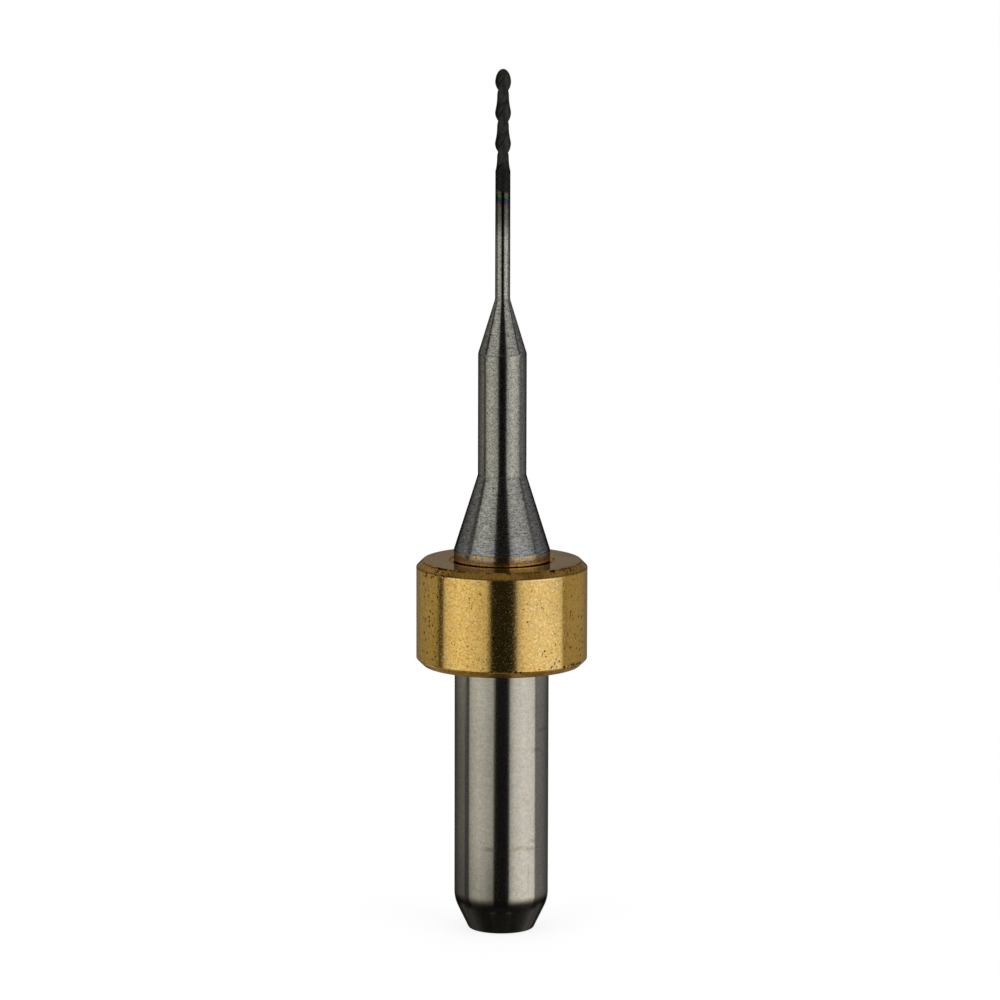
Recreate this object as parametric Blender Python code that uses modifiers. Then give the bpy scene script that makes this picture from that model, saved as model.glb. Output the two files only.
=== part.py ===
"""A two-flute ball-nose milling bur with a pressed-on stop ring.

Lengths are in metres. The origin is the middle of the shank's end face, and +Z runs
along the axis to the cutting tip, so the bur stands on its shank.
"""

import math

import bmesh
import bpy
from mathutils import Matrix, Vector

MM = 0.001

# Shank, which the machine's collet grips
SHANK_DIAMETER = 3.00 * MM
END_CHAMFER_WIDTH = 0.46 * MM
END_CHAMFER_LENGTH = 0.95 * MM
END_EDGE_RADIUS = 0.08 * MM

# Stop ring, and the seat that it is pressed onto
RING_POSITION = 8.59 * MM
RING_HEIGHT = 3.36 * MM
RING_DIAMETER = 5.44 * MM
RING_CHAMFER = 0.21 * MM
BORE_CHAMFER = 0.15 * MM
RING_CLEARANCE = 0.01 * MM
SEAT_STEP = 0.03 * MM
SEAT_SETBACK = 0.30 * MM
SEAT_LEAD_IN = 0.10 * MM
SEAT_LAND = 0.33 * MM

# Cones, stem and neck between the ring and the cutter
LOWER_CONE_LENGTH = 2.40 * MM
STEM_DIAMETER = 1.54 * MM
STEM_LENGTH = 3.87 * MM
UPPER_CONE_LENGTH = 1.73 * MM
NECK_LENGTH = 4.06 * MM
NECK_CLEARANCE = 0.012 * MM

# Ball-nose cutter with two right-hand flutes
CUTTER_DIAMETER = 0.50 * MM
FLUTE_LENGTH = 3.19 * MM
FLUTE_LEAD = 1.946 * MM
FLUTE_DEPTH = 0.14 * MM
LAND_RELIEF = 0.065 * MM
LAND_ANGLE = math.radians(100)
RAKE_DEPTH = 0.085 * MM
RAKE_ANGLE = math.radians(6)
TIP_ANGLE = math.radians(74.5)
RUNOUT_LENGTH = 0.35 * MM
ROOT_OVERLAP = 0.12 * MM
ROOT_SHRINK = 0.15
COATING_OVERRUN = 0.59 * MM

# How finely the round forms are cut into facets
TURNED_STEPS = 64
EDGE_STEPS = 3
LAND_STEPS = 12
GULLET_STEPS = 6
RAKE_STEPS = 2
HELIX_STEP = math.radians(9)
BALL_STEPS = 9
SHARP_ANGLE = math.radians(28)
MERGE_DISTANCE = 1e-7

# Radii that follow from the sizes above
SHANK_RADIUS = SHANK_DIAMETER / 2
END_FACE_RADIUS = SHANK_RADIUS - END_CHAMFER_WIDTH
SEAT_RADIUS = SHANK_RADIUS + SEAT_STEP
BORE_RADIUS = SEAT_RADIUS + RING_CLEARANCE
RING_RADIUS = RING_DIAMETER / 2
STEM_RADIUS = STEM_DIAMETER / 2
CUTTER_RADIUS = CUTTER_DIAMETER / 2
NECK_RADIUS = CUTTER_RADIUS - NECK_CLEARANCE

# Heights above the end face, each stacked on the one before
SEAT_START = RING_POSITION + SEAT_SETBACK
RING_TOP = RING_POSITION + RING_HEIGHT
SEAT_TOP = RING_TOP + SEAT_LAND
STEM_START = SEAT_TOP + LOWER_CONE_LENGTH
STEM_TOP = STEM_START + STEM_LENGTH
NECK_START = STEM_TOP + UPPER_CONE_LENGTH
FLUTE_START = NECK_START + NECK_LENGTH
TIP = FLUTE_START + FLUTE_LENGTH
BALL_CENTRE = TIP - CUTTER_RADIUS
COATING_START = FLUTE_START - COATING_OVERRUN


def clear_scene():
    for obj in list(bpy.data.objects):
        bpy.data.objects.remove(obj)


def new_collection(name):
    collection = bpy.data.collections.new(name)
    bpy.context.scene.collection.children.link(collection)
    return collection


def metal(name, colour, roughness):
    """A bare or coated metal; colour is linear RGB."""
    material = bpy.data.materials.new(name)
    material.use_nodes = True
    shader = material.node_tree.nodes["Principled BSDF"]
    shader.inputs["Base Color"].default_value = (*colour, 1.0)
    shader.inputs["Metallic"].default_value = 1.0
    shader.inputs["Roughness"].default_value = roughness
    material.diffuse_color = (*colour, 1.0)
    return material


def rounded(before, corner, after, radius):
    """Points of the arc that rounds a profile's corner, on the way from before to after."""
    before, corner, after = Vector(before), Vector(corner), Vector(after)
    inward = (before - corner).normalized()
    outward = (after - corner).normalized()
    half_angle = inward.angle(outward) / 2
    centre = corner + (inward + outward).normalized() * (radius / math.sin(half_angle))
    start = corner + inward * (radius / math.tan(half_angle)) - centre
    # Blender counts a signed angle clockwise and a rotation anticlockwise
    turn = -(-inward).angle_signed(outward)
    points = []
    for step in range(EDGE_STEPS + 1):
        points.append(tuple(centre + Matrix.Rotation(turn * step / EDGE_STEPS, 2) @ start))
    return points


def turned(name, profile, collection, closed=False):
    """A lathe-turned solid: the profile of (radius, height) points is swept once round Z."""
    mesh = bpy.data.meshes.new(name)
    count = len(profile)
    edges = [(i, i + 1) for i in range(count - 1)]
    if closed:
        edges.append((count - 1, 0))
    mesh.from_pydata([(radius, 0.0, height) for radius, height in profile], edges, [])
    obj = bpy.data.objects.new(name, mesh)
    collection.objects.link(obj)
    screw = obj.modifiers.new("Turn", "SCREW")
    screw.steps = screw.render_steps = TURNED_STEPS
    screw.use_merge_vertices = True
    screw.merge_threshold = MERGE_DISTANCE
    return obj


def apply_modifiers(obj):
    graph = bpy.context.evaluated_depsgraph_get()
    mesh = bpy.data.meshes.new_from_object(obj.evaluated_get(graph))
    obj.modifiers.clear()
    obj.data = mesh
    mesh.name = obj.name


def shade(obj):
    obj.data.shade_smooth()
    obj.data.set_sharp_from_angle(angle=SHARP_ANGLE)


def blank_profile():
    """The ground blank from the point where the flutes run out down to the end face.

    The cone at its top lies inside the cutter's core and shows only as the floor on which
    each flute climbs out to the neck.
    """
    end_corner = rounded(
        (SHANK_RADIUS, END_CHAMFER_LENGTH),
        (END_FACE_RADIUS, 0.0),
        (0.0, 0.0),
        END_EDGE_RADIUS,
    )
    return [
        (0.0, FLUTE_START + RUNOUT_LENGTH),
        (NECK_RADIUS, FLUTE_START),
        (NECK_RADIUS, COATING_START),
        (NECK_RADIUS, NECK_START),
        (STEM_RADIUS, STEM_TOP),
        (STEM_RADIUS, STEM_START),
        (SEAT_RADIUS, SEAT_TOP),
        (SEAT_RADIUS, SEAT_START + SEAT_LEAD_IN),
        (SHANK_RADIUS, SEAT_START),
        (SHANK_RADIUS, END_CHAMFER_LENGTH),
        *end_corner,
        (0.0, 0.0),
    ]


def polar(radius, angle):
    return Vector((radius * math.cos(angle), radius * math.sin(angle)))


def tooth():
    """One tooth of the cutter's section, from its cutting edge on +X to just short of the next.

    The bur turns anticlockwise seen from the tip. Behind the edge the land falls away to its
    heel, a hollow gullet follows, and the next tooth's rake face climbs to its own edge.
    """
    land = []
    for step in range(LAND_STEPS + 1):
        share = step / LAND_STEPS
        relief = LAND_RELIEF * (1 - (1 - share) ** 2)
        land.append(polar(CUTTER_RADIUS - relief, -LAND_ANGLE * share))
    heel = land[-1]
    next_edge = Vector((-CUTTER_RADIUS, 0.0))
    rake_foot = next_edge + Vector((RAKE_DEPTH, RAKE_DEPTH * math.tan(RAKE_ANGLE)))
    floor_angle = -(LAND_ANGLE + math.pi) / 2
    floor = polar(CUTTER_RADIUS - FLUTE_DEPTH, floor_angle)
    pull = 2 * floor - (heel + rake_foot) / 2
    gullet = []
    for step in range(1, GULLET_STEPS + 1):
        share = step / GULLET_STEPS
        gullet.append(
            heel * (1 - share) ** 2 + pull * 2 * share * (1 - share) + rake_foot * share**2
        )
    rake = [rake_foot.lerp(next_edge, step / RAKE_STEPS) for step in range(1, RAKE_STEPS)]
    return land + gullet + rake


def cutter_section():
    """Both teeth, anticlockwise."""
    half_turn = Matrix.Rotation(math.pi, 2)
    first = tooth()
    return list(reversed(first + [half_turn @ point for point in first]))


def cutter_levels():
    """(height, scale) of each section from the root inside the neck to just under the tip."""
    root = FLUTE_START - ROOT_OVERLAP
    levels = [(root, 1 - ROOT_SHRINK)]
    straight = BALL_CENTRE - FLUTE_START
    steps = math.ceil(straight / FLUTE_LEAD * 2 * math.pi / HELIX_STEP)
    for step in range(steps):
        levels.append((FLUTE_START + straight * step / steps, 1.0))
    for step in range(BALL_STEPS):
        angle = math.pi / 2 * step / BALL_STEPS
        levels.append((BALL_CENTRE + CUTTER_RADIUS * math.sin(angle), math.cos(angle)))
    return levels


def cutter_head(collection):
    """The fluted end: its section turns with the helix and shrinks over the ball to the tip."""
    section = cutter_section()
    shape = bmesh.new()
    rings = []
    for height, scale in cutter_levels():
        turn = Matrix.Rotation(TIP_ANGLE + 2 * math.pi * (height - TIP) / FLUTE_LEAD, 2)
        ring = [turn @ (point * scale) for point in section]
        rings.append([shape.verts.new((x, y, height)) for x, y in ring])
    shape.faces.new(reversed(rings[0]))
    for lower, upper in zip(rings, rings[1:]):
        for i in range(len(section)):
            shape.faces.new((lower[i - 1], lower[i], upper[i], upper[i - 1]))
    tip = shape.verts.new((0.0, 0.0, TIP))
    for i in range(len(section)):
        shape.faces.new((rings[-1][i - 1], rings[-1][i], tip))
    mesh = bpy.data.meshes.new("cutter_head")
    shape.to_mesh(mesh)
    shape.free()
    head = bpy.data.objects.new("cutter_head", mesh)
    collection.objects.link(head)
    head.hide_render = True
    head.display_type = "WIRE"
    return head


def carbide_bur(collection, helpers):
    """The bur is ground from one carbide blank, and black coating covers its cutting end."""
    bur = turned("carbide_bur", blank_profile(), collection)
    join = bur.modifiers.new("Cutter head", "BOOLEAN")
    join.operation = "UNION"
    join.solver = "EXACT"
    join.object = cutter_head(helpers)
    apply_modifiers(bur)
    bur.data.materials.clear()
    bur.data.materials.append(metal("ground_carbide", (0.42, 0.40, 0.37), 0.28))
    bur.data.materials.append(metal("black_coating", (0.03, 0.03, 0.03), 0.35))
    for face in bur.data.polygons:
        face.material_index = int(face.center.z > COATING_START)
    shade(bur)
    return bur


def stop_ring(collection):
    """The ring stops the bur at its depth in the collet and carries it in the tool rack."""
    mouth = BORE_RADIUS + BORE_CHAMFER
    rim = RING_RADIUS - RING_CHAMFER
    profile = [
        (mouth, RING_TOP),
        (rim, RING_TOP),
        (RING_RADIUS, RING_TOP - RING_CHAMFER),
        (RING_RADIUS, RING_POSITION + RING_CHAMFER),
        (rim, RING_POSITION),
        (mouth, RING_POSITION),
        (BORE_RADIUS, RING_POSITION + BORE_CHAMFER),
        (BORE_RADIUS, RING_TOP - BORE_CHAMFER),
    ]
    ring = turned("stop_ring", profile, collection, closed=True)
    apply_modifiers(ring)
    ring.data.materials.append(metal("gold_brass", (0.62, 0.40, 0.13), 0.30))
    shade(ring)
    return ring


def main():
    clear_scene()
    parts = new_collection("milling_bur")
    helpers = new_collection("construction")
    carbide_bur(parts, helpers)
    stop_ring(parts)


main()
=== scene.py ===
# %% [markdown]
# # Dressing a milling bur
#
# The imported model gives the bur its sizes. This script gives it its looks: two fine meshes that
# stand for the two solids, a finish for each written as shader maths, and a small studio.
# Lengths are in millimetres until a mesh is made, because the finest marks on this tool are a
# few hundredths of a millimetre wide.

import math
import random

import bpy
import numpy as np
from mathutils import Matrix, Vector


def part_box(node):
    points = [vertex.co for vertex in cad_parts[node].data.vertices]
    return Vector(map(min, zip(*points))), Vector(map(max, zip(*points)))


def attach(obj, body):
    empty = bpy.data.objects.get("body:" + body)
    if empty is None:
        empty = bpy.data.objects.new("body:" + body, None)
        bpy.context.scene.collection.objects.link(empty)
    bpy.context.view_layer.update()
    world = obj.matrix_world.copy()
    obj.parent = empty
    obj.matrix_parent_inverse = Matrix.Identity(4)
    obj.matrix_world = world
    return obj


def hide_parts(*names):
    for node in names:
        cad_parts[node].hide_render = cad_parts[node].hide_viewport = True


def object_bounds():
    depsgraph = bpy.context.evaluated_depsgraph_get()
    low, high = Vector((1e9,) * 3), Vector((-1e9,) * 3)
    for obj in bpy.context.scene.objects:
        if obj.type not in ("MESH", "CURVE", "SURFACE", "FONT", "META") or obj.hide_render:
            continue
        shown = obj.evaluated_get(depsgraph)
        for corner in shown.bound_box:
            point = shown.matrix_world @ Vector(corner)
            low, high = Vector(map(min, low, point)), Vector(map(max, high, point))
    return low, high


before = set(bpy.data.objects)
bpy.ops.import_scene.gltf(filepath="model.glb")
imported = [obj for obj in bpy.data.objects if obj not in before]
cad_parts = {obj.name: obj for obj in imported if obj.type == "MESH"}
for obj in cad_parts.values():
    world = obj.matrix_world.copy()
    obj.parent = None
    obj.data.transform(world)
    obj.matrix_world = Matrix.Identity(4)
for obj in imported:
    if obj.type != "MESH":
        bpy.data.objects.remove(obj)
SOLID_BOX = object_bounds()
MM = 0.001
low, high = (corner / MM for corner in SOLID_BOX)
print(f"The solids are {high.x - low.x:.2f} mm across and {high.z - low.z:.2f} mm tall")

# %% [markdown]
# ## Measuring the solids
#
# Every ground surface of the real bur is turned round one axis, so its outline is all that has to
# be known. Copying sizes by hand would let the looks drift away from the solids. Reading the
# corners from the solids keeps the two together: at each height the widest point is a corner.
# The cutter at the top isn't turned, so its few sizes are written here.

# %% Read the turned outlines
def turned_corners(node, top=math.inf):
    """The corners of a turned solid as (radius, height), from the bottom up to a height."""
    widest = {}
    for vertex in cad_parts[node].data.vertices:
        x, y, z = vertex.co / MM
        height = round(z, 3)
        if height < top:
            widest[height] = max(widest.get(height, 0.0), math.hypot(x, y))
    return [Vector((widest[height], height)) for height in sorted(widest)]


TIP = high.z
CUTTER_RADIUS = 0.25
FLUTE_LENGTH = 3.19
FLUTE_START = TIP - FLUTE_LENGTH
COATING_OVERRUN = 0.65
COATING_EDGE = FLUTE_START - COATING_OVERRUN

bur_corners = turned_corners("carbide_bur", COATING_EDGE)
corner_heights = [corner.y for corner in bur_corners]
foot_edge, _, _, seat_top, lower_cone_top, stem_top, upper_cone_top = corner_heights[-7:]
for radius, height in bur_corners:
    print(f"corner at radius {radius:.3f}, height {height:.3f}")

# %% Measure the ring
ring_low, ring_high = (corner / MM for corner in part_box("stop_ring"))
ring_radius, ring_bottom, ring_top = ring_high.x, ring_low.z, ring_high.z
ring_corners = turned_corners("stop_ring")
rim = ring_corners[-1].x
ring_vertices = [vertex.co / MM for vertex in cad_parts["stop_ring"].data.vertices]
mouth = min(vertex.xy.length for vertex in ring_vertices if vertex.z > ring_top - 0.001)
bore_radius = min(vertex.xy.length for vertex in ring_vertices)
ring_chamfer, bore_chamfer = ring_radius - rim, mouth - bore_radius
wall_bottom, wall_top = ring_bottom + ring_chamfer, ring_top - ring_chamfer
print(f"The ring's chamfers are {ring_chamfer:.3f} mm outside and {bore_chamfer:.3f} mm in its bore")

# %% [markdown]
# ## Easing the edges
#
# A ground edge is never perfectly sharp. It is a curve a few hundredths of a millimetre wide, and
# it shows as a thin bright or dark line. A Bevel modifier could ease it, but here the outline is
# still a handful of points, so each corner becomes a short curve before anything is turned. A
# point just past each curve keeps the straight stretch beside it flat when it is shaded smooth.

# %% Ease the corners of an outline
CURVE_STEPS, WORN_CURVE_STEPS = 4, 12
LONGEST_REACH = 0.3
FLAT_FROM = 1.6


def eased(corners, usual_reach, worn_height=None, worn_reach=0.0):
    """The outline with each inner corner made a curve that starts at a reach from it.

    A curve takes at most a share, LONGEST_REACH, of the straight stretch on either side."""
    points = [corners[0]]
    for before, corner, after in zip(corners, corners[1:], corners[2:]):
        worn = corner.y == worn_height
        reach, steps = (worn_reach, WORN_CURVE_STEPS) if worn else (usual_reach, CURVE_STEPS)
        back, ahead = before - corner, after - corner
        start = back.normalized() * min(reach, back.length * LONGEST_REACH)
        end = ahead.normalized() * min(reach, ahead.length * LONGEST_REACH)
        points.append(corner + start * FLAT_FROM)
        for step in range(steps + 1):
            share = step / steps
            points.append(corner + start * (1 - share) ** 2 + end * share**2)
        points.append(corner + end * FLAT_FROM)
    return points + [corners[-1]]


# %% [markdown]
# ## Turning
#
# A lathe sweeps an outline round the axis, and so does a Screw modifier. Here the points are
# placed one by one instead, because the ring's skin is dented afterwards, point by point, and that
# needs to know which point is where. The rows of points make a grid, and a grid makes quads.

# %% Turn a grid of points
def turned_points(outline, steps):
    """An array of points, one row for each point of the outline, swept round the axis."""
    turns = np.arange(steps) * 2 * math.pi / steps
    radii = np.array([radius for radius, height in outline])[:, None]
    heights = np.array([height for radius, height in outline])[:, None]
    return np.stack(
        [radii * np.cos(turns), radii * np.sin(turns), heights + 0 * turns], axis=-1
    )


# %% Make a mesh from a grid
def skinned(name, rows, closed=False):
    """A mesh object from rows of points; the ends of an open one are filled."""
    count, around, _ = rows.shape
    faces = []
    for row in range(count if closed else count - 1):
        here, above = row * around, (row + 1) % count * around
        for i in range(around):
            j = (i + 1) % around
            faces.append((here + i, here + j, above + j, above + i))
    if not closed:
        faces.append(tuple(reversed(range(around))))
        faces.append(tuple(range((count - 1) * around, count * around)))
    mesh = bpy.data.meshes.new(name)
    mesh.from_pydata((rows * MM).reshape(-1, 3).tolist(), [], faces)
    mesh.validate()
    piece = bpy.data.objects.new(name, mesh)
    bpy.context.scene.collection.objects.link(piece)
    return piece


def shaded(piece, sharp_angle):
    """Shades a piece smooth, apart from edges that turn by more than an angle in degrees."""
    piece.data.shade_smooth()
    piece.data.set_sharp_from_angle(angle=math.radians(sharp_angle))
    triangles = sum(len(face.vertices) - 2 for face in piece.data.polygons)
    print(f"{piece.name}: {triangles} triangles")


# %% [markdown]
# ## The ground blank
#
# Shank, cones, stem and neck are ground from one carbide rod, so they are one turned mesh. It
# ends inside the cutter in a short cone, the floor on which each flute climbs out to the neck.
# The edge of the foot is worn rounder than the others by going in and out of collets.

# %% Make the blank
TURN_STEPS = 192
EDGE_REACH = 0.035
FOOT_REACH = 0.26
RUNOUT_LENGTH = 0.50
POINT_RADIUS = 0.001

neck_radius = bur_corners[-1].x
blank_corners = [
    Vector((POINT_RADIUS, 0.0)),
    *bur_corners,
    Vector((neck_radius, FLUTE_START)),
    Vector((POINT_RADIUS, FLUTE_START + RUNOUT_LENGTH)),
]
blank_outline = eased(blank_corners, EDGE_REACH, foot_edge, FOOT_REACH)
blank = skinned("ground_bur", turned_points(blank_outline, TURN_STEPS))
print(f"The blank is turned from {len(blank_outline)} points")

# %% [markdown]
# ## The fluted cutter
#
# The cutting end has two teeth. Seen along the axis, each has a cutting edge, a land that falls
# away behind it so that it doesn't rub, a hollow gullet for the chips and a rake face that climbs
# to the next edge. Carving this from a cylinder with cutters would leave ragged cuts on so small
# a part. A loft is truer to the grinding: one section is turned a little and lifted, again and
# again, and over the ball it also shrinks.

# %% Draw the cutter's section
FLUTE_DEPTH = 0.14
LAND_RELIEF = 0.065
LAND_ANGLE = math.radians(100)
RAKE_DEPTH = 0.085
RAKE_ANGLE = math.radians(6)


def polar(radius, angle):
    return Vector((radius * math.cos(angle), radius * math.sin(angle)))


def tooth(land_steps=26, gullet_steps=16, rake_steps=5):
    """One tooth from its cutting edge on +X to just short of the next edge."""
    land = []
    for step in range(land_steps + 1):
        share = step / land_steps
        fallen = LAND_RELIEF * (1 - (1 - share) ** 2)
        land.append(polar(CUTTER_RADIUS - fallen, -LAND_ANGLE * share))
    next_edge = Vector((-CUTTER_RADIUS, 0.0))
    rake_foot = next_edge + Vector((RAKE_DEPTH, RAKE_DEPTH * math.tan(RAKE_ANGLE)))
    floor = polar(CUTTER_RADIUS - FLUTE_DEPTH, -(LAND_ANGLE + math.pi) / 2)
    pull = 2 * floor - (land[-1] + rake_foot) / 2
    gullet = []
    for step in range(1, gullet_steps + 1):
        share = step / gullet_steps
        gullet.append(
            land[-1] * (1 - share) ** 2 + pull * 2 * share * (1 - share) + rake_foot * share**2
        )
    rake = [rake_foot.lerp(next_edge, step / rake_steps) for step in range(1, rake_steps)]
    return land + gullet + rake


half_turn = Matrix.Rotation(math.pi, 2)
section = list(reversed(tooth() + [half_turn @ point for point in tooth()]))
print(f"The cutter's section has {len(section)} points")

# %% Find the loft's levels
FLUTE_LEAD = 1.946
HELIX_STEP = math.radians(3)
BALL_STEPS = 22
ROOT_OVERLAP = 0.12
ROOT_SHRINK = 0.15
TIP_SHRINK = 0.02

ball_centre = TIP - CUTTER_RADIUS
straight = ball_centre - FLUTE_START
lifts = math.ceil(straight / FLUTE_LEAD * 2 * math.pi / HELIX_STEP)
levels = [(FLUTE_START - ROOT_OVERLAP, 1 - ROOT_SHRINK)]
levels += [(FLUTE_START + straight * step / lifts, 1.0) for step in range(lifts)]
for step in range(BALL_STEPS):
    angle = math.pi / 2 * step / BALL_STEPS
    levels.append((ball_centre + CUTTER_RADIUS * math.sin(angle), math.cos(angle)))
levels.append((TIP, TIP_SHRINK * math.cos(angle)))
print(f"The loft has {len(levels)} levels")

# %% Loft the section along its helix
TIP_ANGLE = math.radians(74.5)

rows = []
for height, scale in levels:
    turn = Matrix.Rotation(TIP_ANGLE + 2 * math.pi * (height - TIP) / FLUTE_LEAD, 2)
    rows.append([(*(turn @ (point * scale)), height) for point in section])
cutter = skinned("cutter_head", np.array(rows))
print(f"The flutes make {(TIP - FLUTE_START) / FLUTE_LEAD:.2f} turns")

# %% [markdown]
# ## One piece of carbide
#
# The cutter isn't stuck on the neck: it is the same rod. A Boolean union makes one closed skin of
# the two, so no hidden surface is left inside.

# %% Join the cutter to the blank
BUR_SHARP_ANGLE = 24

join = blank.modifiers.new("Cutter head", "BOOLEAN")
join.operation = "UNION"
join.solver = "EXACT"
join.object = cutter
bpy.context.view_layer.update()
graph = bpy.context.evaluated_depsgraph_get()
joined = bpy.data.meshes.new_from_object(blank.evaluated_get(graph))
blank.modifiers.clear()
blank.data = joined
bpy.data.objects.remove(cutter)
shaded(blank, BUR_SHARP_ANGLE)
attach(blank, "root")
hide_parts("carbide_bur")

# %% [markdown]
# ## The stop ring
#
# The gold ring is turned too, but use has left it full of small pits, a few hundredths of a
# millimetre wide. They catch the light along their edges, so the larger ones are real dents and
# not only paint. For that the skin needs a fine, even grid, and each point is pushed in by the
# pits that reach it. The share by which it was pushed is kept, so that dirt can gather there.

# %% Lay out the ring's skin
RING_STEPS = 588
RING_EDGE_REACH = 0.025
FINE_SPACING, FLAT_SPACING = 0.028, 0.14
FINE_MARGIN = 0.1


def evenly_spaced(points):
    """The outline with points added: close together on the outside, further apart elsewhere."""
    filled = []
    for start, end in zip(points, points[1:]):
        spacing = FINE_SPACING if min(start.x, end.x) > rim - FINE_MARGIN else FLAT_SPACING
        parts = max(1, math.ceil((end - start).length / spacing))
        filled += [start.lerp(end, part / parts) for part in range(parts)]
    return filled + [points[-1]]


skin = [
    Vector((mouth, ring_bottom)),
    Vector((rim, ring_bottom)),
    Vector((ring_radius, wall_bottom)),
    Vector((ring_radius, wall_top)),
    Vector((rim, ring_top)),
    Vector((mouth, ring_top)),
    Vector((bore_radius, ring_top - bore_chamfer)),
]
skin = evenly_spaced(eased(skin, RING_EDGE_REACH))
skin.append(Vector((bore_radius, ring_bottom + bore_chamfer)))
ring_points = turned_points(skin, RING_STEPS)
print(f"The ring's grid is {ring_points.shape[0]} rows of {ring_points.shape[1]} points")

# %% Scatter the pits
PIT_RADII = (0.022, 0.040)
# Each patch: compass angles from the front it lies between, heights it lies between, and its count
PIT_PATCHES = [
    (-66, -47, 9.00, 11.40, 22),
    (-64, -50, 11.62, 11.80, 8),
    (-54, -38, 11.70, 11.86, 16),
    (-60, -43, 11.90, 11.95, 32),
    (-40, -24, 11.93, 11.96, 8),
    (35, 41, 11.86, 11.95, 14),
    (44, 66, 11.82, 11.95, 24),
    (47, 72, 9.00, 11.10, 20),
    (34, 42, 8.86, 9.08, 6),
    (46, 67, 8.73, 8.85, 52),
    (23, 30, 9.33, 9.44, 2),
    (4, 17, 8.79, 8.81, 10),
]
STRAY_PITS = 130
STRAY_RADII = (0.016, 0.030)

chance = random.Random(11)
pits = []
for left, right, bottom, top, count in PIT_PATCHES:
    for _ in range(count):
        turn = math.radians(chance.uniform(left, right) - 90)
        pits.append((turn, chance.uniform(bottom, top), chance.uniform(*PIT_RADII)))
for _ in range(STRAY_PITS):
    turn = chance.uniform(0, 2 * math.pi)
    pits.append((turn, chance.uniform(ring_bottom, ring_top), chance.uniform(*STRAY_RADII)))
print(f"{len(pits)} pits in the ring")

# %% Push the pits into the skin
PIT_DEPTH = 0.010
FACE_MARGIN = 0.01
DENTED_MARGIN = 0.05

outside = np.hypot(ring_points[:, :, 0], ring_points[:, :, 1]) > rim - DENTED_MARGIN
inward = np.zeros_like(ring_points)
inward[..., :2] = -ring_points[..., :2] / ring_radius
pushed = np.zeros(ring_points.shape[:2])
for turn, height, radius in pits:
    height = min(max(height, ring_bottom + FACE_MARGIN), ring_top - FACE_MARGIN)
    reach = rim + min(height - ring_bottom, ring_top - height, ring_chamfer)
    centre = np.array([reach * math.cos(turn), reach * math.sin(turn), height])
    gap = np.linalg.norm(ring_points - centre, axis=-1) / radius
    pushed = np.maximum(pushed, np.where(gap < 1, 1 - gap**2, 0.0) * outside)
ring_points = ring_points + inward * (pushed * PIT_DEPTH)[..., None]
print(f"{np.mean(pushed > 0):.1%} of the points are in a pit")

# %% Make the ring
RING_SHARP_ANGLE = 60

ring = skinned("gold_stop_ring", ring_points, closed=True)
dirt = ring.data.attributes.new("pit", "FLOAT", "POINT")
dirt.data.foreach_set("value", pushed.astype(np.float32).ravel())
shaded(ring, RING_SHARP_ANGLE)
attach(ring, "root")
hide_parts("stop_ring")

# %% [markdown]
# ## Shader maths in plain expressions
#
# A finish is a sum of small effects: a grain, a stain, a coloured film. Wiring them node by node
# is hard to read back. The class below wraps one socket, so that 1 - mask or grain * 0.2 adds the
# Math nodes by itself. Everything else goes through one method, node.

# %% A socket that can be calculated with
class Value:
    """One output socket; arithmetic on it adds Math nodes to the finish it belongs to."""

    def __init__(self, finish, socket):
        self.finish = finish
        self.socket = socket

    def math(self, operation, *values):
        sockets = dict(enumerate(values))
        return self.finish.node("ShaderNodeMath", {"operation": operation}, sockets)

    def __add__(self, other):
        return self.math("ADD", self, other)

    __radd__ = __add__

    def __sub__(self, other):
        return self.math("SUBTRACT", self, other)

    def __rsub__(self, other):
        return self.math("SUBTRACT", other, self)

    def __mul__(self, other):
        return self.math("MULTIPLY", self, other)

    __rmul__ = __mul__

    def __truediv__(self, other):
        return self.math("DIVIDE", self, other)

    def __rtruediv__(self, other):
        return self.math("DIVIDE", other, self)

    def __pow__(self, other):
        return self.math("POWER", self, other)

    def __rpow__(self, other):
        return self.math("POWER", other, self)

    def cosine(self):
        return self.math("COSINE", self)

    def size(self):
        return self.math("ABSOLUTE", self)

    def between(self, start, end):
        """0 before start, 1 after end and a smooth rise from one to the other."""
        sockets = {"Value": self, "From Min": start, "From Max": end}
        return self.finish.node("ShaderNodeMapRange", {"interpolation_type": "SMOOTHSTEP"}, sockets)

    def band(self, rise, fall):
        """A band: 0, a rise to 1 from one value to another, then a fall back to 0."""
        return self.between(*rise) * (1 - self.between(*fall))


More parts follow.
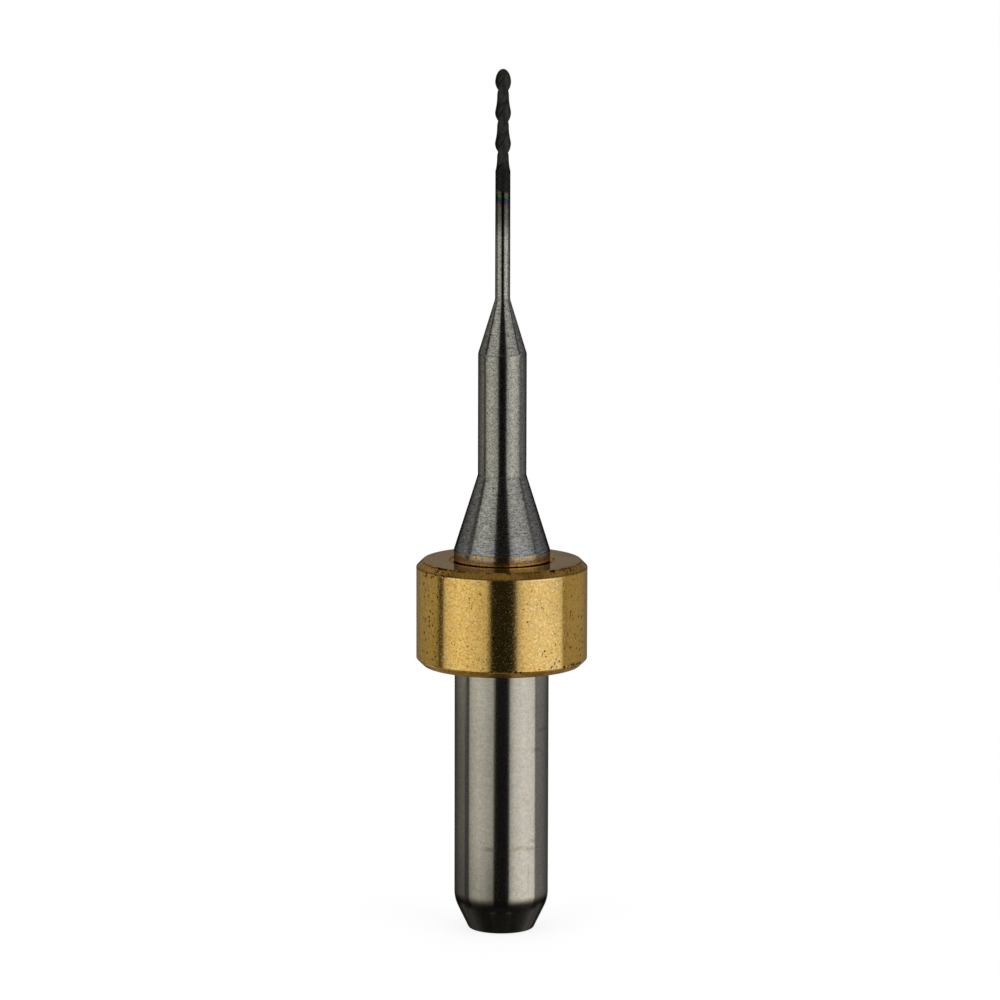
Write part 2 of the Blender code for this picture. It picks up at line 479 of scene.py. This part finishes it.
# %% A node tree that is written in expressions
class Finish:
    """A node tree that is being written, one node at a time."""

    def __init__(self, tree):
        self.tree = tree
        tree.nodes.clear()

    def node(self, kind, settings=None, sockets=None, output=0):
        """Adds a node: first its settings, then its sockets, each a number, a colour or a Value."""
        node = self.tree.nodes.new(kind)
        for name, setting in (settings or {}).items():
            setattr(node, name, setting)
        for name, value in (sockets or {}).items():
            if isinstance(value, Value):
                self.tree.links.new(value.socket, node.inputs[name])
            else:
                node.inputs[name].default_value = value
        return Value(self, node.outputs[output]) if node.outputs else None

    def place(self):
        """The point that is shaded, in millimetres from the middle of the end face."""
        metres = self.node("ShaderNodeTexCoord", output="Object")
        return self.node("ShaderNodeVectorMath", {"operation": "SCALE"}, {0: metres, "Scale": 1 / MM})

    def parts(self, place):
        """How far a point is across, how far to the back, and how high."""
        return [self.node("ShaderNodeSeparateXYZ", {}, {0: place}, output=axis) for axis in "XYZ"]

    def noise(self, place, stretch, detail=2.0):
        """Noise from 0 to 1 with so many bumps to the millimetre along X, Y and Z."""
        scaled = self.node("ShaderNodeVectorMath", {"operation": "MULTIPLY"}, {0: place, 1: stretch})
        return self.node("ShaderNodeTexNoise", {}, {"Vector": scaled, "Scale": 1.0, "Detail": detail})

    def mix(self, share, first, second, blend="MIX"):
        """Two colours mixed by a share."""
        settings = {"data_type": "RGBA", "blend_type": blend}
        return self.node("ShaderNodeMix", settings, {0: share, 6: first, 7: second}, output=2)

    def multiply(self, first, second):
        """Two colours multiplied."""
        return self.mix(1.0, first, second, blend="MULTIPLY")

    def colour(self, red, green, blue):
        return self.node("ShaderNodeCombineColor", {}, {"Red": red, "Green": green, "Blue": blue})

    def grey(self, level):
        return self.colour(level, level, level)

    def metal(self, colour, roughness, height, depth, edge_tint):
        """The finish's surface: a metal with a height map of a depth in millimetres."""
        normal = self.node("ShaderNodeBump", {}, {"Height": height, "Distance": depth * MM})
        sockets = {"Base Color": colour, "Roughness": roughness, "Metallic": 1.0, "Normal": normal}
        sockets["Specular Tint"] = edge_tint
        surface = self.node("ShaderNodeBsdfPrincipled", {}, sockets)
        self.node("ShaderNodeOutputMaterial", {}, {"Surface": surface})


def new_finish(name):
    material = bpy.data.materials.new(name)
    material.use_nodes = True
    return material, Finish(material.node_tree)


# %% [markdown]
# ## Ground carbide
#
# The shank is ground finely and has a warm, even sheen. Above the ring a coarser wheel left short
# marks that run round the cones, and a sparkling grain on the stem and neck. One noise texture
# stretched for each kind of mark is enough, because the marks differ only in size and direction.
# They vary the colour as well as the relief: at this scale a bump alone is lost in a pixel.

# %% Lay out the carbide's grain
carbide, finish = new_finish("ground_carbide")
place = finish.place()
across, front, height = finish.parts(place)

grain = finish.noise(place, (19, 19, 21)) - 0.5
mottling = finish.noise(place, (8, 8, 9)) - 0.5
streaks = finish.noise(place, (5, 5, 26)) - 0.5
cloud = finish.noise(place, (1.5, 1.5, 1.0), detail=3.0) - 0.5
tint = finish.noise(place, (11, 11, 12), detail=1.0) - 0.5

above_ring = height.between(ring_top - 0.2, ring_top - 0.1)
on_lower_cone = above_ring * (1 - height.between(lower_cone_top - 0.06, lower_cone_top + 0.02))
on_upper_cone = height.band(
    (stem_top - 0.03, stem_top + 0.03), (upper_cone_top - 0.06, upper_cone_top + 0.04)
)
on_cone = on_lower_cone + on_upper_cone
on_front = 1 - front.between(-0.3, 0.0)
print(f"The cones end at {lower_cone_top:.2f} and {upper_cone_top:.2f} mm")

# %% Colour the bare carbide
SHANK_COLOUR = (0.535, 0.50, 0.405, 1.0)
CONE_COLOUR = (0.385, 0.375, 0.325, 1.0)
STEM_COLOUR = (0.385, 0.372, 0.305, 1.0)
BLUISH_COLOUR = (0.36, 0.38, 0.375, 1.0)
BLUISH_HEIGHT = 0.6
WARMTH = 0.12

land_top = seat_top - 0.01
upper_colour = finish.mix(on_cone, STEM_COLOUR, CONE_COLOUR)
bluish = above_ring * (1 - height.between(land_top, land_top + BLUISH_HEIGHT))
upper_colour = finish.mix(bluish * 0.8, upper_colour, BLUISH_COLOUR)
bare = finish.mix(above_ring, SHANK_COLOUR, upper_colour)
coarse = grain * 2.3 + mottling * 0.5 + streaks * (0.2 + on_cone * 1.6)
fine = grain * 0.55 + mottling * 0.45
level = 1 + above_ring * coarse + (1 - above_ring) * fine + cloud * 0.12
warmer = level * (1 + tint * WARMTH)
less_blue = level * (1 - tint * WARMTH * 1.3)
mottled = finish.multiply(bare, finish.colour(warmer, level, less_blue))
print(f"The bluish part of the cone reaches {land_top + BLUISH_HEIGHT:.2f} mm")

# %% [markdown]
# ## Marks of use on the shank
#
# Collets and oil have left a few brown lines round the shank, a score along it and faint
# blotches. Each line is a narrow band in height and a wide one across, and one noise makes it
# wander while another breaks it up. The lines and the score are placed where the real bur has
# them, on its front, and so is a darkening low on the front's left. The faint blotches go all
# the way round, and so does a painted shade that darkens the foot.

# %% Add the stains on the shank
# Each stain: height, half its width up the shank, its middle and half its width round the shank
STAINS = [
    (2.84, 0.12, 0.30, 1.10),
    (3.10, 0.10, 1.00, 0.16),
    (6.00, 0.13, 1.00, 0.30),
    (6.35, 0.10, 0.20, 0.25),
    (6.62, 0.13, 1.28, 0.16),
]
STAIN_WANDER = 0.35
STAIN_COLOUR = (0.62, 0.54, 0.40, 1.0)
SCORE_ACROSS, SCORE_WIDTH = 0.86, 0.04

wobble = finish.noise(place, (1.6, 1.6, 0.5), detail=3.0) - 0.5
patchy = finish.noise(place, (3, 3, 3), detail=3.0).between(0.30, 0.62)
wandering = height + wobble * STAIN_WANDER
stain = 0.0
for middle, half_width, side, reach in STAINS:
    line = 1 - ((wandering - middle).size() / half_width).between(0.0, 1.0)
    span = 1 - ((across - side).size() / reach).between(0.6, 1.0)
    stain = stain + line * span
stain = stain * patchy * on_front
score = 1 - ((across - SCORE_ACROSS).size() / SCORE_WIDTH).between(0.0, 1.0)
score = score * height.band((1.2, 1.7), (2.0, 2.5)) * on_front
foot_stain = height.band((0.90, 0.98), (1.06, 1.30))
blotch = finish.noise(place, (2.6, 2.6, 2.2), detail=4.0).between(0.56, 0.74) * (1 - above_ring)
stain_share = stain * 0.6 + foot_stain * 0.6 + blotch * 0.16 + score * 0.35
stained_and_shaded = finish.mix(stain_share, mottled, finish.multiply(mottled, STAIN_COLOUR))
print(f"{len(STAINS)} stains on the shank")

# %% Darken the foot with painted shade, and the front's left low down
LOWER_DARKENING, SHANK_DARKENING, MIDDLE_DARKENING = 0.28, 0.09, 0.22
FOOT_PAINTED_SHADE = 0.85

# The front's left is darker low down, and more so towards its middle.
front_darkening = (1 - height.between(0.8, 4.0)) * LOWER_DARKENING + (1 - height.between(5.5, 8.3)) * SHANK_DARKENING
by_middle = (1 - height.between(0.8, 3.0)) * across.between(-0.6, -0.2)
on_left = 1 - across.between(-0.20, -0.12)
above_foot = height.between(0.95, 1.15)
front_darkening = (front_darkening + by_middle * MIDDLE_DARKENING) * on_left * on_front * above_foot
# Painted shade: the foot is darkened all the way round.
foot_painted_shade = 1 - height.between(0.99, 1.27)
kept_brightness = (1 - front_darkening) * (1 - foot_painted_shade * FOOT_PAINTED_SHADE)
stained_and_shaded = finish.multiply(stained_and_shaded, finish.grey(kept_brightness))
print(f"The foot keeps {1 - FOOT_PAINTED_SHADE:.0%} of its brightness")

# %% [markdown]
# ## Gold on the land above the ring
#
# As the ring was pressed on, the land just above it took some gold in short upright scratches. It
# lies thickest along the ring and along the land's upper edge, and thinly between them. A noise
# stretched upright gives the scratches, and added to the height it also makes their ends ragged.

# %% Rub the ring's gold onto its seat
LAND_COLOUR = (0.52, 0.325, 0.12, 1.0)
PAINTED_GLINT_COLOUR = (0.98, 0.64, 0.22, 1.0)
SEAM_SHADE_COLOUR = (0.01, 0.008, 0.005, 1.0)
RAGGED_BY = 0.48

scratches = finish.noise(place, (15, 15, 1.6), detail=3.0) - 0.5
ragged_height = height + scratches * RAGGED_BY
rubbed = above_ring * (1 - ragged_height.between(land_top - 0.03, land_top + 0.03))
thin_rub = height.band((ring_top + 0.07, ring_top + 0.12), (land_top - 0.12, land_top - 0.06))
gold_share = rubbed * (0.95 - thin_rub * 0.42 + scratches * 2.4 + grain * 1.4)
# Painted reflection: a brighter gold line on the land just above the ring stands for the light that the
# land mirrors off the ring's top face.
painted_glint = height.band((ring_top + 0.01, ring_top + 0.03), (ring_top + 0.06, ring_top + 0.09))
gold_rub_and_glint = finish.mix(painted_glint, LAND_COLOUR, PAINTED_GLINT_COLOUR)
gold_rub_and_glint = finish.multiply(gold_rub_and_glint, finish.grey(1 + grain * 2.5))
rubbed_with_painted_light = finish.mix(gold_share, stained_and_shaded, gold_rub_and_glint)
# Painted shade: a near-black line where the land goes into the ring's bore.
seam_shade = height.band((ring_top - 0.08, ring_top - 0.05), (ring_top + 0.005, ring_top + 0.025))
rubbed_with_painted_light = finish.mix(seam_shade * 0.95, rubbed_with_painted_light, SEAM_SHADE_COLOUR)
print(f"The land is {land_top - ring_top:.2f} mm high")

# %% [markdown]
# ## The coating and its coloured edge
#
# The black coating covers the cutter and the top of the neck. At its lower edge it thins out to
# nothing, and such a film is coloured like oil on water: light reflected from its top and from
# the metal under it meets again, and the two add or cancel by wavelength. Colour bands could be
# painted with a ramp, but the maths is short and gives the true order of the colours by itself:
# a cosine of the film's thickness for each of red, green and blue.

# %% Add the thin film
# Light waves, and the way that light takes through the film, in millionths of a millimetre
LIGHT_WAVES = (650.0, 550.0, 450.0)
FILM_AT_EDGE = 1330.0
FILM_HALVES_EVERY = 0.50
FILM_CONTRAST = 0.38
FILM_START, FILM_END = 22.95, 23.50
FILM_TILT = 0.22
HAZE_START, HAZE_SHARE = 22.05, 0.70

tilted = height + across * FILM_TILT
film = FILM_AT_EDGE * 2 ** ((tilted + grain * 0.06 - COATING_EDGE) / FILM_HALVES_EVERY)
contrast = FILM_CONTRAST * height.between(FILM_START, FILM_END)
haze = 1 - HAZE_SHARE * height.between(HAZE_START, FILM_START)
bands = []
for wave in LIGHT_WAVES:
    interference = (film * (2 * math.pi / wave)).cosine()
    bands.append((1 - contrast + contrast * interference) * haze)
filmed = finish.multiply(rubbed_with_painted_light, finish.colour(*bands))
print(f"The film thins by half every {FILM_HALVES_EVERY} mm")

# %% Add the coating
COATING_COLOUR = (0.078, 0.077, 0.066, 1.0)
NECK_DARKNESS = 0.50

coated = (tilted + grain * 0.04).between(COATING_EDGE - 0.02, COATING_EDGE + 0.02)
on_neck = 1 - height.between(FLUTE_START, FLUTE_START + 0.2)
coating_level = 1 + grain * 0.6 + mottling * 0.5 - NECK_DARKNESS * on_neck
coating = finish.multiply(COATING_COLOUR, finish.grey(coating_level))
colour = finish.mix(coated, filmed, coating)
print(f"The coating ends at {COATING_EDGE:.2f} mm")

# %% Finish the carbide
CARBIDE_RELIEF = 0.0005
CARBIDE_EDGE_TINT = (0.35, 0.35, 0.35, 1.0)

roughness = 0.13 + above_ring * 0.03 + coated * 0.42 + stain_share * 0.05
coarse_relief = grain + streaks * (0.2 + on_cone * 0.5)
relief = above_ring * coarse_relief + (1 - above_ring) * grain * 0.4
finish.metal(colour, roughness, relief, CARBIDE_RELIEF, CARBIDE_EDGE_TINT)
blank.data.materials.clear()
blank.data.materials.append(carbide)
print("The carbide finish has", len(carbide.node_tree.nodes), "nodes")

# %% [markdown]
# ## Gold-coloured brass
#
# The ring is bright gold. Its two sides, as the camera sees them, get a painted sheen of deeper
# gold, and the right of its front, where the right light is mirrored, is painted duller as a
# painted highlight. Its surface has a fine pebbled grain from plating, with pale specks that are
# partly a painted sparkle, and a painted glint runs along the top edge of the wall. Dark dirt sits
# in the pits and along the top of the upper chamfer, and a thin line along its lower edge is
# darkened. The pits that were dented in bring their own mask, and finer ones are drawn by a
# Voronoi pattern, which puts a dot in each of many cells.

# %% Tell the ring's faces apart
EDGE_BLUR = 0.02

gold, finish = new_finish("gold_brass")
place = finish.place()
across, front, height = finish.parts(place)
on_top = height.between(ring_top - 0.012, ring_top - 0.004)
upper_chamfer = height.between(wall_top, wall_top + EDGE_BLUR) * (1 - on_top)
lower_chamfer = 1 - height.between(wall_bottom - EDGE_BLUR, wall_bottom)
chamfers = upper_chamfer + lower_chamfer
on_wall = 1 - chamfers - on_top
print(f"The ring's wall runs from {wall_bottom:.2f} to {wall_top:.2f} mm")

# %% Lay out the ring's grain and its fine pits
SPOT_SCALE = 6.0

grain = finish.noise(place, (15, 15, 16)) - 0.5
specks = finish.noise(place, (13, 13, 13), detail=1.0)
cloud = finish.noise(place, (1.1, 1.1, 1.3), detail=4.0)
scatter = finish.noise(place, (1.6, 1.6, 1.6))
spots = finish.node(
    "ShaderNodeTexVoronoi", {"feature": "F1"}, {"Vector": place, "Scale": SPOT_SCALE, "Randomness": 1.0}
)
fine_pits = (1 - spots.between(0.10, 0.19)) * scatter.between(0.48, 0.60) * on_wall
print(f"The fine pits lie about {1 / SPOT_SCALE:.2f} mm apart")

# %% Colour the gold, with its painted sheen, highlight and glint
GOLD_COLOUR = (0.98, 0.59, 0.155, 1.0)
DULLED_HIGHLIGHT_COLOUR = (0.75, 0.50, 0.155, 1.0)
SIDE_SHEEN_COLOUR = (1.0, 0.58, 0.11, 1.0)
TARNISH_COLOUR = (0.84, 0.44, 0.075, 1.0)
PALE_SPARKLE_COLOUR = (0.95, 0.80, 0.52, 1.0)
EDGE_PAINTED_GLINT_COLOUR = (1.0, 0.82, 0.42, 1.0)
TOP_COLOUR = (0.70, 0.46, 0.14, 1.0)

# The right of the front, where the right light is mirrored, is painted duller as a painted
# highlight, and the two sides get a painted sheen of deeper gold
dulled_highlight = across.between(0.0, 1.2) * (1 - front.between(-0.6, 0.0)) * on_wall
side_sheen = across.size().between(1.84, 2.0)
tarnish = cloud.between(0.50, 0.75) * 0.25 + chamfers * 0.9
# Pale specks in the grain, partly a painted sparkle where the wall mirrors the lights.
pale_specks_and_sparkle = specks.between(0.56, 0.70) * on_wall * (1 - side_sheen * 0.7)
# Painted highlight: a bright, pale line along the top edge of the wall, under the chamfer.
painted_glint = height.band((wall_top - 0.050, wall_top - 0.035), (wall_top - 0.018, wall_top - 0.006))
gold_with_painted_light = finish.mix(dulled_highlight, GOLD_COLOUR, DULLED_HIGHLIGHT_COLOUR)
gold_with_painted_light = finish.mix(side_sheen, gold_with_painted_light, SIDE_SHEEN_COLOUR)
gold_with_painted_light = finish.mix(tarnish, gold_with_painted_light, TARNISH_COLOUR)
gold_with_painted_light = finish.mix(pale_specks_and_sparkle * 0.55, gold_with_painted_light, PALE_SPARKLE_COLOUR)
gold_with_painted_light = finish.mix(painted_glint * (1 - side_sheen) * 0.8, gold_with_painted_light, EDGE_PAINTED_GLINT_COLOUR)
gold_with_painted_light = finish.mix(on_top, gold_with_painted_light, TOP_COLOUR)
grain_share = 0.5 + on_wall * 1.3 + chamfers * 1.1 - dulled_highlight * 0.5
clouded = (chamfers + on_top) * cloud.between(0.45, 0.75)
mottled = finish.multiply(gold_with_painted_light, finish.grey(1 + grain * grain_share - clouded * 0.45))
print(f"The glint lies just under {wall_top:.2f} mm")

# %% Put dirt in the pits and along the chamfer's top, and darken its lower edge
DIRT_AND_DARKENING_COLOUR = (0.035, 0.018, 0.006, 1.0)

pit = finish.node("ShaderNodeAttribute", {"attribute_name": "pit"}, output="Fac")
ragged = finish.noise(place, (7, 7, 7), detail=3.0).between(0.42, 0.62)
rim_line = height.band((ring_top - 0.060, ring_top - 0.030), (ring_top - 0.010, ring_top))
# A thin line along the upper chamfer's lower edge, just above the glint, is darkened.
under_line = height.band((wall_top - 0.010, wall_top), (wall_top + 0.025, wall_top + 0.040))
dirt_and_darkening = pit.between(0.05, 0.45) * 0.92 + fine_pits * 0.6
dirt_and_darkening = dirt_and_darkening + rim_line * ragged * 0.85 + under_line * 0.5
colour = finish.mix(dirt_and_darkening, mottled, DIRT_AND_DARKENING_COLOUR)
print("The gold finish has", len(gold.node_tree.nodes), "nodes so far")

# %% Finish the gold
GOLD_RELIEF = 0.0009
GOLD_EDGE_TINT = (1.0, 0.89, 0.75, 1.0)

roughness = 0.12 + dirt_and_darkening * 0.3 + specks.between(0.50, 0.70) * on_wall * 0.10
relief = grain * (0.15 + on_wall * 0.85 + chamfers * 0.5) - fine_pits * 1.5
finish.metal(colour, roughness, relief, GOLD_RELIEF, GOLD_EDGE_TINT)
ring.data.materials.append(gold)
print("The gold finish has", len(gold.node_tree.nodes), "nodes")

# %% [markdown]
# ## The studio
#
# Polished metal shows nothing but its surroundings, so the picture is made by what stands round
# the bur: a large soft light on each side, with a dark gap between them where the camera is, a
# black strip at the far edge of the left light and duller walls further round. Lamps could light
# it, but a round wall that glows shows in the metal exactly as it is laid out. The wall is one
# mesh whose points each carry a colour. Each part of the bur mirrors its own stretch of it. The
# upright ones mirror it lower than they stand, the shank lowest and the neck highest. The ring's
# top and the cones mirror it above, and the foot's chamfer mirrors it far below. So each stretch
# of the wall has its own layout.

# %% Lay out the light round the bur
# Angle from the camera's side in degrees, + to the right, and how brightly the wall glows there
LOW_LEFT = [
    (-180, 0.17), (-150, 0.20), (-132, 0.24), (-120, 0.55), (-104, 0.26), (-89, 0.14), (-75, 0.08),
]
LOW_RIGHT = [
    (57, 0.09), (75, 0.14), (89, 0.20), (104, 0.38), (120, 0.85), (132, 0.28), (150, 0.20),
    (180, 0.17),
]
LAYOUTS = {
    "low": LOW_LEFT + [(-50, 0.068), (0, 0.081), (40, 0.085)] + LOW_RIGHT,
    "below": LOW_LEFT + [
        (-43, 0.07), (-38, 0.36), (-20, 0.30), (-18.5, 0.05), (18.5, 0.05), (20, 0.34), (38, 0.42),
        (43, 0.09),
    ] + LOW_RIGHT,
    "behind": [
        (-180, 0.16), (-158, 0.16), (-146, 0.60), (-137, 1.05), (-118, 0.25), (-108, 0.05),
        (108, 0.05), (118, 0.40), (137, 1.30), (146, 0.70), (158, 0.16), (180, 0.16),
    ],
    "shank": [
        (-180, 0.60), (-174, 0.30), (-168, 0.14), (-156, 0.14), (-150, 0.16), (-103, 0.20),
        (-102, 0.08), (-87, 0.08), (-86, 0.46), (-72, 0.64), (-58, 0.77), (-36, 0.60), (-20, 0.44),
        (-18.5, 0.008), (18.5, 0.008), (20.5, 0.50), (32, 0.82), (56, 1.04), (84, 0.96), (90, 0.92),
        (91, 0.18), (96, 0.22), (150, 0.18), (156, 0.17), (168, 0.17), (174, 0.30), (180, 0.60),
    ],
    "ring": [
        (-180, 0.22), (-170, 0.18), (-152, 0.19), (-140, 0.28), (-120, 0.32), (-100, 0.34),
        (-95, 0.33), (-94, 0.05), (-85.5, 0.05), (-84.5, 0.53), (-71, 0.68), (-58, 0.73),
        (-36, 0.64), (-20, 0.58), (-15.5, 0.52), (-14.5, 0.022), (13, 0.022), (18.5, 0.10),
        (24.5, 0.60), (30, 0.80), (38, 0.92), (54, 1.02), (64, 0.97), (80, 0.87), (88, 0.84),
        (89.5, 0.22), (96, 0.26), (100, 0.34), (120, 0.33), (140, 0.28), (152, 0.19),
        (170, 0.18), (180, 0.22),
    ],
    "stem": [
        (-180, 0.50), (-172, 0.06), (-152, 0.06), (-148, 0.20), (-120, 0.25), (-102, 0.30),
        (-98, 0.27), (-97, 0.07), (-83, 0.07), (-82, 0.54), (-72, 0.64), (-58, 0.75), (-36, 0.58),
        (-20, 0.52), (-18, 0.012), (17.5, 0.012), (20, 0.42), (30, 0.66), (41, 0.70), (55, 0.73),
        (70, 0.64), (80, 0.46), (86, 0.34), (88, 0.20), (100, 0.24), (121, 0.26), (148, 0.20),
        (152, 0.06), (172, 0.06), (180, 0.50),
    ],
    "neck": [
        (-180, 0.40), (-172, 0.02), (-140, 0.03), (-125, 0.05), (-108, 0.20), (-98, 0.25),
        (-97, 0.10), (-87, 0.10), (-86, 0.46), (-72, 0.72), (-52, 0.90), (-36, 0.70), (-22, 0.50),
        (-20, 0.002), (21, 0.002), (23, 0.46), (32, 0.80), (52, 1.24), (70, 1.06), (84, 0.72),
        (92, 0.40), (95, 0.20), (108, 0.20), (125, 0.065), (140, 0.03), (172, 0.02), (180, 0.40),
    ],
    "faces": [
        (-180, 0.19), (-150, 0.19), (-96, 0.26), (-82, 0.30), (-20, 0.30), (-18, 0.05),
        (18, 0.05), (20, 0.44), (80, 0.44), (96, 0.26), (150, 0.19), (180, 0.19),
    ],
    "cones": [
        (-180, 0.27), (-150, 0.22), (-98, 0.27), (-96, 0.015), (-82, 0.015), (-80, 0.56),
        (-56, 0.72), (-32, 0.60), (-20, 0.44), (-18, 0.015), (20, 0.015), (23, 0.44), (34, 0.62),
        (55, 0.67), (78, 0.49), (87, 0.43), (89, 0.015), (98, 0.015), (101, 0.33), (110, 0.27),
        (150, 0.22), (180, 0.27),
    ],
    "above": [(-180, 0.65), (-168, 0.60), (-156, 0.17), (156, 0.17), (168, 0.60), (180, 0.65)],
}
print(f"The wall has {len(LAYOUTS)} layouts")

# %% Stack the layouts
# Height of each row of points, and how much it takes of each layout
ROWS = [
    (-1000, {"low": 1.0}),
    (-930, {"low": 1.0}),
    (-880, {"below": 1.0}),
    (-780, {"below": 1.0}),
    (-740, {"low": 1.0}),
    (-430, {"low": 1.0}),
    (-340, {"behind": 1.0, "shank": 0.18}),
    (-280, {"behind": 0.8, "shank": 0.47}),
    (-240, {"behind": 0.3, "shank": 0.72}),
    (-205, {"shank": 0.92}),
    (-160, {"shank": 1.0}),
    (-91, {"shank": 1.0}),
    (-86, {"ring": 1.0}),
    (-74, {"ring": 1.0}),
    (-66, {"stem": 1.0}),
    (-47, {"stem": 1.0}),
    (-41, {"neck": 1.0}),
    (-5, {"neck": 1.0}),
    (50, {"faces": 1.0}),
    (120, {"faces": 1.0}),
    (170, {"cones": 1.0}),
    (330, {"cones": 1.0}),
    (560, {"faces": 0.8}),
    (700, {"above": 1.0}),
]
ROOM_STEP = 6

stops = [angle for layout in LAYOUTS.values() for angle, brightness in layout]
angles = np.unique(np.append(np.arange(-180, 180 + ROOM_STEP, ROOM_STEP), stops))


def row_glow(shares):
    """How brightly a row glows at each of the wall's angles."""
    return sum(share * np.interp(angles, *zip(*LAYOUTS[name])) for name, share in shares.items())


print(f"The wall has {len(ROWS)} rows of {len(angles)} points")

# %% Make a piece glow
def glowing(piece, colours):
    """A piece whose points glow in their own colours, seen by the metal and not by the camera."""
    own = piece.data.attributes.new("glow", "FLOAT_COLOR", "POINT")
    own.data.foreach_set("color", np.append(colours, np.ones((len(colours), 1)), axis=1).ravel())
    material, finish = new_finish(piece.name)
    material.cycles.emission_sampling = "NONE"
    colour = finish.node("ShaderNodeAttribute", {"attribute_name": "glow"}, output="Color")
    light = finish.node("ShaderNodeEmission", {}, {"Color": colour})
    finish.node("ShaderNodeOutputMaterial", {}, {"Surface": light})
    piece.data.materials.append(material)
    piece.visible_camera = False


# %% Build the round wall
ROOM_RADIUS = 500.0
RIGHT_BLUE = 1.05
SIDE_BLUE, SIDE_ANGLE = 1.06, 92

points, colours = [], []
for row_height, shares in ROWS:
    for angle, glow in zip(angles, row_glow(shares)):
        turn = math.radians(angle)
        points.append((ROOM_RADIUS * math.sin(turn), -ROOM_RADIUS * math.cos(turn), row_height))
        blue = (RIGHT_BLUE if angle > 0 else 1.0) * (SIDE_BLUE if abs(angle) > SIDE_ANGLE else 1.0)
        colours.append((glow, glow, glow * blue))
count = len(angles)
faces = [
    (row * count + i, row * count + i + 1, (row + 1) * count + i + 1, (row + 1) * count + i)
    for row in range(len(ROWS) - 1)
    for i in range(count - 1)
]
mesh = bpy.data.meshes.new("round_wall")
mesh.from_pydata((np.array(points) * MM).tolist(), [], faces)
wall = bpy.data.objects.new("round_wall", mesh)
bpy.context.scene.collection.objects.link(wall)
glowing(wall, np.array(colours))
print(f"The wall has {len(faces)} faces and glows up to {np.max(colours):.2f}")

# %% Close the room above and below
CAPS = {"ceiling": ROWS[-1], "pit_below": ROWS[0]}
MIDDLE_GLOW = 0.17

for name, (cap_height, shares) in CAPS.items():
    bpy.ops.mesh.primitive_circle_add(
        vertices=64, radius=ROOM_RADIUS * MM, fill_type="TRIFAN", location=(0, 0, cap_height * MM)
    )
    cap = bpy.context.object
    cap.name = name
    rim_glow = row_glow(shares)
    cap_colours = []
    for vertex in cap.data.vertices:
        angle = math.degrees(math.atan2(vertex.co.x, -vertex.co.y))
        in_middle = vertex.co.xy.length < ROOM_RADIUS * MM / 2
        cap_colours.append([MIDDLE_GLOW if in_middle else np.interp(angle, angles, rim_glow)] * 3)
    glowing(cap, np.array(cap_colours))
    print(f"{name} lies at {cap_height} mm")

# %% [markdown]
# ## Floor and background
#
# The background is plain white. For rays from the camera the floor glows a little as well as
# being lit, so it comes out white while the bur's soft shadow stays. The metal doesn't mirror the
# floor, because the wall's lower layouts stand for what the foot mirrors. The room is closed and
# the camera looks through its wall, so the world shows as the picture's white background.

# %% Lay the floor
FLOOR_RADIUS = 430.0
FLOOR_COLOUR = (0.80, 0.80, 0.79, 1.0)
FLOOR_GLOW = (0.815, 0.815, 0.815, 1.0)
BLACK = (0.0, 0.0, 0.0, 1.0)

bpy.ops.mesh.primitive_circle_add(vertices=96, radius=FLOOR_RADIUS * MM, fill_type="NGON")
floor = bpy.context.object
floor.name = "floor"
floor.visible_glossy = False
floor.visible_shadow = False
material, finish = new_finish("pale_floor")
seen = finish.node("ShaderNodeLightPath", output="Is Camera Ray")
lit = finish.node("ShaderNodeBsdfDiffuse", {}, {"Color": FLOOR_COLOUR})
own_light = finish.node("ShaderNodeEmission", {}, {"Color": finish.mix(seen, BLACK, FLOOR_GLOW)})
both = finish.node("ShaderNodeAddShader", {}, {0: lit, 1: own_light})
finish.node("ShaderNodeOutputMaterial", {}, {"Surface": both})
floor.data.materials.append(material)
print(f"The floor is {2 * FLOOR_RADIUS:.0f} mm across")

# %% Colour the world
WHITE = (1.0, 1.0, 1.0, 1.0)
ROOM_GREY = (0.35, 0.35, 0.35, 1.0)

world = bpy.data.worlds.new("studio")
bpy.context.scene.world = world
world.use_nodes = True
finish = Finish(world.node_tree)
seen = finish.node("ShaderNodeLightPath", output="Is Camera Ray")
mirrored = finish.node("ShaderNodeLightPath", output="Is Glossy Ray")
through = finish.node("ShaderNodeLightPath", output="Is Transmission Ray")
colour = finish.mix(seen + mirrored + through, ROOM_GREY, WHITE)
background = finish.node("ShaderNodeBackground", {}, {"Color": colour, "Strength": 1.0})
finish.node("ShaderNodeOutputWorld", {}, {"Surface": background})
print("The world is white to the camera")

# %% [markdown]
# ## The camera
#
# A long lens from 168 mm away looks down on the bur by nine degrees. The two numbers come from
# the ellipses of the ring and of the end face, which open as a circle does when it is seen from
# that height. The bur leans a seventh of a degree in the picture, so the camera is rolled.

# %% Place the camera
CAMERA_DISTANCE = 168.0
CAMERA_HEIGHT = 40.77
CAMERA_PITCH = 9.10
CAMERA_ROLL = 0.14
CAMERA_ASIDE = -0.066
CAMERA_LENS = 193.2
CLIP_START = 10.0

camera = bpy.data.objects.new("camera", bpy.data.cameras.new("camera"))
bpy.context.scene.collection.objects.link(camera)
camera.data.lens = CAMERA_LENS
camera.data.clip_start = CLIP_START * MM
camera.location = Vector((CAMERA_ASIDE, -CAMERA_DISTANCE, CAMERA_HEIGHT)) * MM
tilt = Matrix.Rotation(math.radians(90 - CAMERA_PITCH), 3, "X")
roll = Matrix.Rotation(math.radians(CAMERA_ROLL), 3, "Z")
camera.rotation_euler = (tilt @ roll).to_euler()
bpy.context.scene.camera = camera
bpy.context.scene.view_settings.view_transform = "Standard"
print(f"The camera looks down by {CAMERA_PITCH} degrees")
